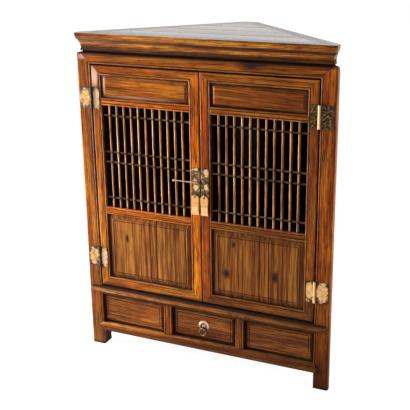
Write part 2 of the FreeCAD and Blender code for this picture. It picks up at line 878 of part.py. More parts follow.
def tag_pull():
    # The top of its hole hangs on the inside of the eye.
    y = lock_face - pull_eye_radius - eye_wire
    inside = pull_eye_radius - eye_wire
    seat = math.sqrt(inside ** 2 - (pull_thickness / 2) ** 2)
    hole_z = pull_eye_height - seat + slide_gap - pull_hole
    top = hole_z + pull_hole_drop
    bottom = top - pull_height
    shoulder = top - pull_shoulder
    half = pull_width / 2
    waist = half - pull_waist
    middle = (bottom + shoulder) / 2
    face = outline(
        in_front, (lock_x - half, bottom), (lock_x + half, bottom),
        ((lock_x + waist, middle), (lock_x + half, shoulder)), ((lock_x, top), (lock_x - half, shoulder)),
        ((lock_x - waist, middle), (lock_x - half, bottom)))
    body = plate(face, y - pull_thickness / 2, y + pull_thickness / 2)
    return body.cut(rod_y(pull_hole, lock_x, y - cut_overrun, y + cut_overrun, hole_z))


def lock_pin():
    # A rod turned with a ball at its tail, drawn back on the left door just short of the meeting line.
    y = lock_face - pin_eye_radius() - eye_wire
    tip = -pin_tip_back
    tail = tip - pin_length
    neck = tail + math.sqrt(pin_ball ** 2 - pin_radius ** 2)
    half = outline(in_front, (tail - pin_ball, 0), ((tail, pin_ball), (neck, pin_radius)), (tip, pin_radius),
                   (tip, 0))
    return half.revolve(V(0, 0, 0), V(1, 0, 0), 360).translated(V(0, y, pin_height))


# Drawer
def drawer():
    half = drawer_opening / 2 - drawer_gap
    z0, z1 = base_top + drawer_gap, waist_bottom - drawer_gap
    y0 = drawer_front_recess
    y1 = y0 + drawer_front_thickness
    border = y0 + drawer_bevel
    field_z = (z0 + drawer_border, z1 - drawer_border)
    front = box(-half, half, border + field_step, y1, z0, z1)
    field = rimmed_field(drawer_border - half, half - drawer_border, *field_z, y0, y1)
    front = fused(front, frustum(-half, half, z0, z1, border + field_step, y0 + field_step, drawer_border), field)
    rear = y0 + drawer_length
    inner = half - drawer_side_thickness
    low = base_top + drawer_lift
    high = low + drawer_side_height
    sizes = (inner, half, y1 - drawer_lap, rear, low, high)
    right = box(*sizes)
    back = box(-inner, inner, rear - drawer_back_thickness, rear, low, high)
    reach = inner + drawer_bottom_groove
    base = low + drawer_bottom_rise
    sheet = (-reach, reach, y1 - drawer_bottom_groove, rear - drawer_bottom_groove, base,
             base + drawer_bottom_thickness)
    groove = grown(*sheet)
    socket = grown(*sizes)
    front = front.cut([groove, socket, mirrored(socket)])
    right = right.cut(groove)
    return front, right, back.cut(groove), box(*sheet)


def drawer_runner():
    # An L section: the side slides on its ledge, and its upstand guides the side.
    outer = drawer_opening / 2 - drawer_gap + slide_gap
    top = base_top + drawer_lift - slide_gap
    inner = outer - runner_width / 2
    edge = outer + runner_width / 2
    face = outline(in_front, (inner, top - runner_height), (edge, top - runner_height),
                   (edge, top + guide_height), (outer, top + guide_height), (outer, top), (inner, top))
    bar = plate(face, rail_depth, side_sum)
    beyond = on_side(box(0, side_length, -side_sum, side_rail_thickness, 0, case_height))
    return bar.cut(beyond)


def rosette():
    seat = drawer_front_recess
    bulge = (rosette_radius ** 2 - rosette_dome ** 2) / (2 * rosette_dome)
    ball = Part.makeSphere(bulge + rosette_dome, V(0, seat + bulge, rosette_height))
    reach = rosette_radius + cut_overrun
    dome = ball.common(box(-reach, reach, seat - reach, seat, rosette_height - reach, rosette_height + reach))
    hole = rod_y(eye_shank_radius + nail_clearance, 0, seat - reach, seat + reach, ring_eye_z())
    return dome.cut(hole)


def ring_eye_z():
    return rosette_height - ring_eye_drop


def ring_eye_y():
    return drawer_front_recess - rosette_dome - ring_eye_radius - eye_wire


def ring_eye():
    ring = Part.makeTorus(ring_eye_radius, eye_wire, V(0, ring_eye_y(), ring_eye_z()), V(1, 0, 0))
    back = drawer_front_recess + eye_shank_length
    return fused(ring, rod_y(eye_shank_radius, 0, ring_eye_y() + ring_eye_radius, back, ring_eye_z()))


def ring_pull():
    hang = ring_eye_radius - eye_wire - ring_wire - slide_gap
    centre = V(0, ring_eye_y(), ring_eye_z() - hang - ring_radius)
    return Part.makeTorus(ring_radius, ring_wire, centre, V(0, 1, 0))


os.makedirs("parts", exist_ok=True)

# Case
write_pair("post", [front_post()])
write("rear_post", rear_post())
write("top_rail", top_rail())
write("waist_moulding", waist_moulding())
write("base_rail", base_rail())
write_pair("divider", [divider()])
write_pair("base_panel", [fielded_panel(*base_panel_opening(), base_border, base_field_rise, base_panel_sink)])

side_cuts = side_grooves()
floor_cut = floor_shape(joint_clearance)
write_pair("side_rails", [on_side(rail.cut(side_cuts)).cut(floor_cut) for rail in side_rails()])
upper_space, lower_space = [side_panel_space(z0, z1, tongue_length, 0) for z0, z1 in side_panel_heights()]
side_boards = into_boards(upper_space, side_rail_start, side_rail_end, side_board_shares)
write_pair("side_panels", [on_side(board) for board in side_boards + [lower_space]])

write("cupboard_floor", floor_shape(0))
panel_inner = side_panel_recess + side_panel_thickness
shelf_rear = rear_depth - (rear_stile + side_rail_thickness) / root_two - shelf_gap
shelf_plan = inside_plan(shelf_setback, panel_inner + shelf_gap, post_inner - shelf_gap, shelf_rear)
write("shelf", upright(shelf_plan, shelf_bottom, shelf_bottom + shelf_thickness))
bearer = on_side(box(side_rail_start + bearer_setback, side_rail_end - bearer_setback, panel_inner,
                     panel_inner + bearer_width, shelf_bottom - bearer_height, shelf_bottom))
write("shelf_bearers", bearer, mirrored(bearer))
runner = drawer_runner()
write("drawer_runners", runner, mirrored(runner))

cornice_front, cornice_right = cornice()
write("cornice_front", cornice_front)
write("cornice_sides", cornice_right, mirrored(cornice_right))
write("top_boards", *top_boards())

# Hinges and nails
hinges = [hinge(z0) for z0 in (lower_hinge_bottom, upper_hinge_bottom)]
frame_leaves, door_leaves, hinge_pins = zip(*hinges)
nail_places = [hinge_nail_places(z0) for z0 in (lower_hinge_bottom, upper_hinge_bottom)]
frame_nails = [nail(x, z, -leaf_thickness) for frame, door in nail_places for x, z in frame]
for name, right in (("frame_hinge_leaves", frame_leaves), ("hinge_pins", hinge_pins),
                    ("frame_nails", frame_nails)):
    write(name, *right, *[mirrored(solid) for solid in right])

# Doors
hinge_stile, meeting_stile = door_stiles()
door_top_piece, door_bottom_piece, upper_cross, lower_cross = door_rails()
uprights, bars = lattice()
door_nails = [nail(x, z, -leaf_thickness) for frame, door in nail_places for x, z in door]
door_nails += [nail(x, z, lock_face) for x, z in lock_nail_places()]
panel_sides = (stile_inner, stile_outer)
upper_panel = steep_panel(*panel_sides, upper_panel_bottom, upper_panel_top)
lower_panel = fielded_panel(*panel_sides, lower_panel_bottom, lower_panel_top, lower_border, field_rise)
write_pair("door_hinge_stile", [hinge_stile])
write_pair("door_meeting_stile", [meeting_stile])
write_pair("door_top_rail", [door_top_piece])
write_pair("door_bottom_rail", [door_bottom_piece])
write_pair("door_cross_rails", [upper_cross, lower_cross])
write_pair("door_upper_panel", [upper_panel])
write("right_door_lower_panel", *into_boards(lower_panel, stile_inner, stile_outer, right_board_shares))
left_boards = into_boards(lower_panel, stile_outer, stile_inner, left_board_shares)
write("left_door_lower_panel", *[mirrored(board) for board in left_boards])
write_pair("door_lattice_uprights", uprights)
write_pair("door_lattice_bars", bars)
write_pair("door_hinge_leaves", door_leaves)
write_pair("door_lock_plate", [lock_plate()])
write_pair("door_lock_eyes", [eye(pin_eye_radius(), pin_height), eye(pull_eye_radius, pull_eye_height)])
write_pair("door_nails", door_nails)
write_pair("pull", [tag_pull()])
write("lock_pin", lock_pin())

# Drawer
drawer_front, drawer_side, drawer_back, drawer_bottom = drawer()
eye_hole = rod_y(eye_shank_radius, 0, 0, drawer_front_recess + eye_shank_length, ring_eye_z())
write("drawer_front", drawer_front.cut(eye_hole))
write("drawer_sides", drawer_side, mirrored(drawer_side))
write("drawer_back", drawer_back)
write("drawer_bottom", drawer_bottom)
write("drawer_rosette", rosette())
write("drawer_ring_eye", ring_eye())
write("drawer_ring", ring_pull())
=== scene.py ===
import math
from functools import partial
import bpy
import numpy as np
from mathutils import Matrix, Vector


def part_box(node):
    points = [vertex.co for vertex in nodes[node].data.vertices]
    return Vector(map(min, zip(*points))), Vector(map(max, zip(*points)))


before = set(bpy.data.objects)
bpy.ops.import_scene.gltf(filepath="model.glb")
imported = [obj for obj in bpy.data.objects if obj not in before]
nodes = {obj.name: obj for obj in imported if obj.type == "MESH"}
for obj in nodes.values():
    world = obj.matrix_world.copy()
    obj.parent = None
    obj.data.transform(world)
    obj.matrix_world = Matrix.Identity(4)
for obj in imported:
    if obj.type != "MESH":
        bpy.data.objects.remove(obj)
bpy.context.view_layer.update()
scene = bpy.context.scene
scene.view_settings.view_transform = "Standard"
print("frame loaded:", len(nodes), "nodes")


def toLinear(hexColour):  # sRGB hex to linear, as the shader sockets want it
    parts = np.array([int(hexColour[i:i + 2], 16) for i in (1, 3, 5)]) / 255
    linear = np.where(parts <= 0.04045, parts / 12.92, ((parts + 0.055) / 1.055) ** 2.4)
    return (*linear, 1.0)


def addNode(tree, kind, inputs=(), **settings):
    # inputs go by place or by name: a node or a socket is linked, a plain value is set
    node = tree.nodes.new("ShaderNode" + kind)
    for name, setting in settings.items():
        setattr(node, name, setting)
    for socket, given in inputs.items() if isinstance(inputs, dict) else enumerate(inputs):
        if isinstance(given, bpy.types.Node):
            given = next(output for output in given.outputs if output.enabled)
        if isinstance(given, bpy.types.NodeSocket):
            tree.links.new(given, node.inputs[socket])
        else:
            node.inputs[socket].default_value = given
    return node


def newMaterial(name):
    material = bpy.data.materials.new(name)
    material.use_nodes = True
    material.node_tree.nodes.clear()
    return material, partial(addNode, material.node_tree)


def combine(add, operation, masks):  # several masks taken together, two at a time
    result = masks[0]
    for mask in masks[1:]:
        result = add("Math", (result, mask), operation=operation)
    return result


def layOver(add, colour, layers):  # colours laid one over the other, each where its mask says
    for mask, tone in layers:
        colour = add("Mix", {0: mask, 6: colour, 7: toLinear(tone)}, data_type="RGBA")
    return colour


def awayFrom(add, source, centre, halves):  # how far from a place on the front, in its halves across and up
    moved = add("VectorMath", (source, (centre[0], 0, centre[1])), operation="SUBTRACT")
    shares = add("VectorMath", (moved, (1 / halves[0], 0, 1 / halves[1])), operation="MULTIPLY")
    return add("VectorMath", (shares,), operation="LENGTH")


def dress(node, material):
    slots = nodes[node].data.materials
    slots.clear()
    slots.append(material)


# Camera: found by fitting the cupboard's own corners to the photograph
camera = {
    "place": (1.1119, -2.5838, 1.4603), "turn": 24.787, "tilt": 18.690, "roll": -0.829,
    "lens": 76.24, "sensor": 36.0,
}


def makeCamera():
    data = bpy.data.cameras.new("camera")
    data.lens = camera["lens"]
    data.sensor_width = camera["sensor"]
    eye = bpy.data.objects.new("camera", data)
    turn = Matrix.Rotation(math.radians(camera["turn"]), 4, "Z")
    tilt = Matrix.Rotation(math.radians(90 - camera["tilt"]), 4, "X")
    roll = Matrix.Rotation(math.radians(camera["roll"]), 4, "Z")
    eye.matrix_world = Matrix.Translation(camera["place"]) @ turn @ tilt @ roll
    scene.collection.objects.link(eye)
    scene.camera = eye


makeCamera()
print("camera placed")


# Elm, planed and finished with rubbed lacquer: fine streaks run along the grain, pores give short dark lines
# and the board joints are dark.
# Painted shade darkens hollows, recesses, gaps and the lower right, and pale painted highlights run along
# the rounded edges, mixed with wear.
elm = {
    "frame": {"tones": ("#7a3707", "#aa560e", "#d3842b"), "stretch": 36.0, "ring": 0.013, "rings": 0.10,
              "rough": (0.22, 0.34)},
    "cornice": {"tones": ("#4a1d03", "#a8540c", "#f0a03c"), "ring": 0.013, "rings": 0.10, "bands": 0.45,
                "rough": (0.22, 0.34)},
    "panel": {"tones": ("#6a340c", "#a75d1c", "#cf8c3c"), "stretch": 64.0, "lean": 0.25, "lines": 0.50,
              "ring": 0.017, "rings": 0.08, "bands": 0.25, "rough": (0.28, 0.40), "rub": 0.25, "quirk": 0.60,
              "reach": 0.0075, "flecks": 0.26},
    "row": {"tones": ("#602a0a", "#924d18", "#ba7634"), "stretch": 40.0, "ring": 0.013, "rings": 0.08,
            "bands": 0.30, "rough": (0.26, 0.38), "rub": 0.35, "quirk": 0.62, "reach": 0.0065},
    "lattice": {"tones": ("#8c4a1c", "#cf8040", "#f0b27c"), "ring": 0.006, "rings": 0.10,
                "rough": (0.24, 0.36)},
    # bar wood, greyed with a painted reflection of the sky
    "bar": {"tones": ("#352a28", "#66554f", "#908078"), "ring": 0.006, "rings": 0.10,
            "rough": (0.28, 0.42)},
    "top": {"tones": ("#1c1008", "#56391f", "#b4947a"), "ring": 0.016, "rings": 0.10, "bands": 0.75,
            "rough": (0.20, 0.30), "gloss": 0.32},
    "side": {"tones": ("#3f1c06", "#6c370f", "#8d521c"), "ring": 0.012, "rings": 0.20, "rough": (0.36, 0.50),
             "rub": 0.12},
    # near black: painted shade on the floor, shelf and other parts inside the case
    "inside": {"tones": ("#080402", "#0f0704", "#150b06"), "ring": 0.012, "rings": 0.20,
               "rough": (0.5, 0.66)},
    # dark tone for knot eyes, for the dark board seams and for all painted shade
    "grimeAndShade": "#150702",
    "pore": "#331405",
    # pale: painted highlight along rounded edges and bar edges, mixed with worn lacquer
    "wearAndHighlight": "#d79a5c",
    # painted highlight along the front edge of the cornice's upper face
    "lidEdgeHighlight": "#f0e7dc",
    "paintedReflection": "#e4bfa6",  # painted reflection of a window, pale pink-white
    "insideShade": "#0a0502",  # painted shade: near black on faces inside the case and on the sides of the lattice uprights
    # a kind of wood without its own value takes these
    "stretch": 24.0,  # how much longer the figure is along the grain than across it
    "lineStretch": 60.0,
    "fleckStretch": 12.0,
    "lean": 0.5,
    "bands": 0.40,
    "flecks": 0.62,
    "lines": 0.72,
    "rub": 1.0,
    "quirk": 0.96,
    "reach": 0.0045,
    "gloss": 0.15,
    # width of each pattern in metres, its detail and its roughness
    "fibreNoise": (0.0024, 4.0, 0.65),
    "bandNoise": (0.024, 3.0, 0.55),
    "poreNoise": (0.0030, 1.0, 0.5),
    "lineNoise": (0.0029, 2.0, 0.5),
    "patchNoise": (0.13, 2.0, 0.5),
    "rubNoise": (0.030, 2.0, 0.6),
    "ringWave": {"Distortion": 6.0, "Detail": 3.0, "Detail Scale": 1.3, "Detail Roughness": 0.6},
    "waveTurn": 20.0,  # radians that the wave texture makes in a unit
    # where a mask begins and ends, and mostly its value at each
    "toneStops": (0.40, 0.50, 0.60),
    "poreShow": (0.59, 0.66),
    "lineShow": (0.555, 0.60),
    "patchShade": (0.35, 0.65, 0.86, 1.12),
    "knotFade": (0.45, 1.65, 0.95, 0.0),
    "barEdgeHighlight": (0.985, 0.82, 0.0, 0.35),
    "ridgeShow": (0.92, 0.66, 0.0, 1.0),
    "rubShow": (0.40, 0.60, 0.15, 0.75),
    "bentShow": (0.985, 0.92),
    "hollowShow": (0.35, 0.95, 0.92, 0.0),
    "quirkShow": (0.50, 0.95),
    "paintedReflectionFade": (0.9, 1.5),
    "lidUpward": (0.90, 0.98, 0.0, 1.0),
    "lidFrontHighlight": (-0.209, -0.214, 0.0, 0.95),
    "figureLevels": (0.3, 0.7),
    "knotRagged": 1.6,
    "knotSwing": 4.0,
    "paintedReflectionRagged": 0.8,
    "hollowReach": 0.011,
    "ridgeReach": 0.0050,
    "edgeRound": 0.0018,
    "hollowSamples": 8,
    "bevelSamples": 6,
    "poreDepth": 0.00018,
    "poreStrength": 0.5,
    "dirtRough": 0.95,
    "ior": 1.5,
    "seamShow": (0.0026, 0.0013, 0.0, 0.9),
    "boardShift": (0.043, 0.019, 0.71),  # from one board of a panel to the next, in the log
    # the heart of the log: depth behind the face, place across the board, lean and sway in degrees
    "heartDepth": (0.05, 0.10),
    "heartAside": 0.3,
    "leanRange": (1.5, 4.0),
    "sway": 1.0,
    "seed": 40,
}
half = math.sqrt(0.5)
grainUp, grainAcross, grainBack = (0, 0, 1), (1, 0, 0), (0, 1, 0)
grainRight, grainLeft = (-half, half, 0), (half, half, 0)
doorGrain = {
    "hinge_stile": ("frame", grainUp), "meeting_stile": ("frame", grainUp),
    "top_rail": ("frame", grainAcross), "cross_rails": ("frame", grainAcross),
    "bottom_rail": ("frame", grainAcross),
    "upper_panel": ("frame", grainAcross), "lower_panel": ("panel", grainUp),
    "lattice_uprights": ("lattice", grainUp), "lattice_bars": ("bar", grainAcross),
}
boards = {
    "left_post": ("frame", grainUp), "right_post": ("frame", grainUp), "rear_post": ("side", grainUp),
    "top_rail": ("frame", grainAcross), "waist_moulding": ("frame", grainAcross),
    "base_rail": ("frame", grainAcross),
    "left_divider": ("frame", grainUp), "right_divider": ("frame", grainUp),
    "left_base_panel": ("row", grainAcross), "right_base_panel": ("row", grainAcross),
    "left_side_panels": ("side", grainUp), "right_side_panels": ("side", grainUp),
    "left_side_rails": ("side", grainLeft), "right_side_rails": ("side", grainRight),
    "cupboard_floor": ("inside", grainAcross), "shelf": ("inside", grainAcross),
    "shelf_bearers": ("inside", grainRight), "drawer_runners": ("inside", grainBack),
    "cornice_front": ("cornice", grainAcross), "cornice_sides": ("cornice", grainRight),
    "top_boards": ("top", grainAcross),
    "drawer_front": ("row", grainAcross), "drawer_sides": ("side", grainBack),
    "drawer_back": ("side", grainAcross), "drawer_bottom": ("side", grainAcross),
}
boardJoints = {  # direction across the boards, and where each joint lies along it
    "left_door_lower_panel": (grainAcross, (-0.1899, -0.1655)),
    "right_door_lower_panel": (grainAcross, (0.1993, 0.2307)),
    "top_boards": (grainBack, (-0.1043, -0.0113, 0.0817)),
}
shadedFaceNodes = {  # outward direction, and how far from it a face must turn to take painted shade: inside the case, and on the sides of the lattice uprights
    "left_side_panels": ((-half, half, 0), -0.3), "right_side_panels": ((half, half, 0), -0.3),
    "left_side_rails": ((-half, half, 0), -0.3), "right_side_rails": ((half, half, 0), -0.3),
    "rear_post": ((0, 1, 0), -0.3), "left_door_lattice_uprights": ((0, -1, 0), 0.5),
    "right_door_lattice_uprights": ((0, -1, 0), 0.5),
}
# painted shade in the hollows of the cornice moulding and in the recess under it
corniceShade = (
    (1.1000, 1.0965, 0.15, 0.25), (1.0965, 1.0950, 0.60, 0.20), (1.0830, 1.0790, 0.0, 0.60),
    (1.0790, 1.0715, 0.85, 0.75), (1.0715, 1.0690, 0.75, 0.10), (1.0690, 1.0590, 0.08, 0.15),
    (1.0590, 1.0560, 0.20, 0.75), (1.0560, 1.0470, 0.75, 0.70), (1.0470, 1.0435, 0.80, 0.95),
    (1.0435, 1.0370, 0.97, 0.97),
)
heightShade = {  # bands, mostly of painted shade under overhangs, in gaps, hollows and bar crossings, and low on the right: upper and lower edge, and how much at each
    "cornice_front": corniceShade,
    "cornice_sides": corniceShade,
    "top_rail": ((1.0370, 1.0280, 0.92, 0.25),),
    "left_post": ((1.0370, 1.0300, 0.80, 0.10), (0.3300, 0.2000, 0.0, 0.22), (0.2000, 0.0140, 0.22, 0.12),
                  (0.0140, 0.0000, 0.25, 0.85)),
    "right_post": ((1.0370, 1.0300, 0.80, 0.10), (0.4400, 0.0140, 0.0, 0.74), (0.0140, 0.0000, 0.75, 0.92)),
    "waist_moulding": ((0.2280, 0.2225, 0.97, 0.92), (0.2225, 0.2185, 0.92, 0.0),
                       (0.2090, 0.2055, 0.80, 0.50), (0.2055, 0.1990, 0.30, 0.70)),
    "left_door_bottom_rail": ((0.2420, 0.2330, 0.05, 0.90),),
    "right_door_bottom_rail": ((0.2430, 0.2330, 0.10, 0.92),),
    "left_door_hinge_stile": ((0.2420, 0.2330, 0.05, 0.90),),
    "right_door_hinge_stile": ((0.3400, 0.2450, 0.0, 0.45), (0.2450, 0.2330, 0.50, 0.92)),
    "left_door_meeting_stile": ((0.2900, 0.2430, 0.0, 0.30), (0.2430, 0.2330, 0.35, 0.90)),
    "right_door_meeting_stile": ((0.3400, 0.2450, 0.0, 0.45), (0.2450, 0.2330, 0.50, 0.92)),
    "base_rail": ((0.0745, 0.0715, 0.75, 0.75), (0.0690, 0.0560, 0.10, 0.80)),
}
sideShade = {  # painted shade, more to the right: from where to where, and how much at each
    "base_rail": (-0.35, 0.35, 0.08, 0.68), "waist_moulding": (-0.30, 0.40, 0.0, 0.36),
}
endDarkening = {"waist_moulding": (0.402, 0.410, 0.0, 0.35)}  # dark towards both ends
tintsAndShading = {  # each piece's tint, partly its own wood and partly painted light and shade matched piece by piece: how much of red, green and blue comes back
    "left_post": (0.86, 0.86, 0.95), "right_post": (1.22, 1.0, 0.7), "top_rail": (0.95, 0.92, 0.85),
    "cornice_front": (1.08, 1.05, 0.9), "waist_moulding": (0.80, 0.86, 1.0),
    "left_base_panel": (1.35, 1.40, 1.3), "drawer_front": (1.12, 1.08, 1.0),
    "left_door_top_rail": (1.15, 1.08, 0.9), "left_door_upper_panel": (1.12, 1.12, 1.0),
    "left_door_hinge_stile": (1.15, 1.15, 0.9), "left_door_meeting_stile": (2.15, 2.05, 0.65),
    "left_door_cross_rails": (1.80, 1.54, 0.95), "left_door_lower_panel": (0.94, 0.92, 0.94),
    "left_door_bottom_rail": (1.05, 1.0, 0.9), "right_door_hinge_stile": (1.05, 0.94, 0.8),
    "right_door_meeting_stile": (1.18, 0.84, 0.4), "right_door_lower_panel": (0.88, 0.82, 0.8),
    "right_door_bottom_rail": (0.64, 0.61, 0.56),
}
paintedReflections = {  # painted reflections of a window on the lacquer: place on the front, half width and half height, and how strong
    "left_door_upper_panel": (((-0.3440, 0.9480), (0.0110, 0.0400), 0.8),
                              ((-0.2100, 0.8985), (0.1500, 0.0060), 0.5)),
    "left_door_hinge_stile": (((-0.3700, 0.9650), (0.0120, 0.0420), 0.8),),
    "left_post": (((-0.4150, 1.0240), (0.0150, 0.0100), 0.5),),
}
nosingHighlights = {  # pale painted highlight lines along nosings, broken where the lacquer is rubbed: upper and lower edge, and how much
    "waist_moulding": (0.2150, 0.2102, 1.0), "base_rail": (0.0865, 0.0832, 1.0),
    "cornice_front": (1.0885, 1.0855, 0.50),
}
recessShade = {  # painted shade in recesses: how far back a piece begins to darken, where it is darkest, and how much
    "left_base_panel": (-0.2008, -0.1972, 0.84), "right_base_panel": (-0.2008, -0.1972, 0.84),
    "drawer_front": (-0.1995, -0.1960, 0.84),
    "left_door_lower_panel": (-0.2042, -0.1995, 0.15), "right_door_lower_panel": (-0.2042, -0.1995, 0.35),
    "left_door_upper_panel": (-0.2060, -0.1990, 0.45), "right_door_upper_panel": (-0.2060, -0.2000, 0.75),
    "left_post": (-0.2020, -0.1960, 0.80), "right_post": (-0.2020, -0.1960, 0.80),
}
for name in ("left_divider", "right_divider", "waist_moulding", "base_rail"):
    recessShade[name] = (-0.2020, -0.1960, 0.90)
innerLimit = {"left_post": 0.3885, "right_post": 0.3885}  # further out a post's side takes no painted shade
knots = {  # place on the front, and half width and half height of the dark eye
    "left_door_lower_panel": (((-0.277, 0.4165), (0.0050, 0.0140)),),
    "right_door_lower_panel": (((0.086, 0.3487), (0.0120, 0.0140)), ((0.2507, 0.3623), (0.0110, 0.0170)),
                               ((0.1109, 0.4529), (0.0055, 0.0080))),
    "top_rail": (((0.1700, 1.0270), (0.0340, 0.0115)),),
}
lattice = {
    "starts": {"left": -0.3495, "right": 0.0360},
    "pitch": 0.026125,  # from one upright to the next
    "gaps": range(1, 11),
    "bars": (0.5566, 0.6791, 0.7139, 0.8364),
    "barReach": 0.0036,
    # painted shade where the bars pass through the uprights
    "barShade": 0.8,
}
for side, start in lattice["starts"].items():  # the two doors are alike
    door = side + "_door_"
    boards.update({door + piece: grain for piece, grain in doorGrain.items()})
    betweens = tuple(start + lattice["pitch"] * (k + 0.5) for k in lattice["gaps"])
    boardJoints[door + "lattice_uprights"] = (grainAcross, betweens)
    heightShade[door + "lattice_uprights"] = tuple(
        (z + lattice["barReach"], z - lattice["barReach"], lattice["barShade"], lattice["barShade"])
        for z in lattice["bars"])
    heightShade[door + "lower_panel"] = ((0.4970, 0.4830, 0.55, 0.05), (0.2880, 0.2660, 0.15, 0.75))
    for piece in ("hinge_stile", "meeting_stile", "top_rail", "cross_rails", "bottom_rail"):
        recessShade[door + piece] = (-0.2020, -0.1960, 0.93)


def grainFrame(node, along, rng, straight):
    # The heart of the log lies behind the face, a little aside and a little out of line with the board.
    low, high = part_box(node)
    middle, size = (low + high) / 2, high - low
    heart = middle + Vector((0, rng.uniform(*elm["heartDepth"]), 0))
    aside = Vector((0, 0, 1)) if along[2] == 0 else Vector((1, 0, 0))
    heart += aside * size.dot(aside) * rng.uniform(-elm["heartAside"], elm["heartAside"])
    turn = Vector(along).to_track_quat("Z", "Y").to_matrix()
    degrees = straight * rng.uniform(*elm["leanRange"]) * rng.choice((-1, 1))
    lean = Matrix.Rotation(math.radians(degrees), 3, "X")
    sway = Matrix.Rotation(math.radians(rng.uniform(-elm["sway"], elm["sway"])), 3, "Y")
    return heart, (turn @ lean @ sway).to_euler()


def paint(ramp, tones):  # dark streaks first, pale ones last
    stops = ramp.color_ramp.elements
    stops.new(elm["toneStops"][2])
    for stop, position, tone in zip(stops, elm["toneStops"], tones):
        stop.position = position
        stop.color = toLinear(tone)


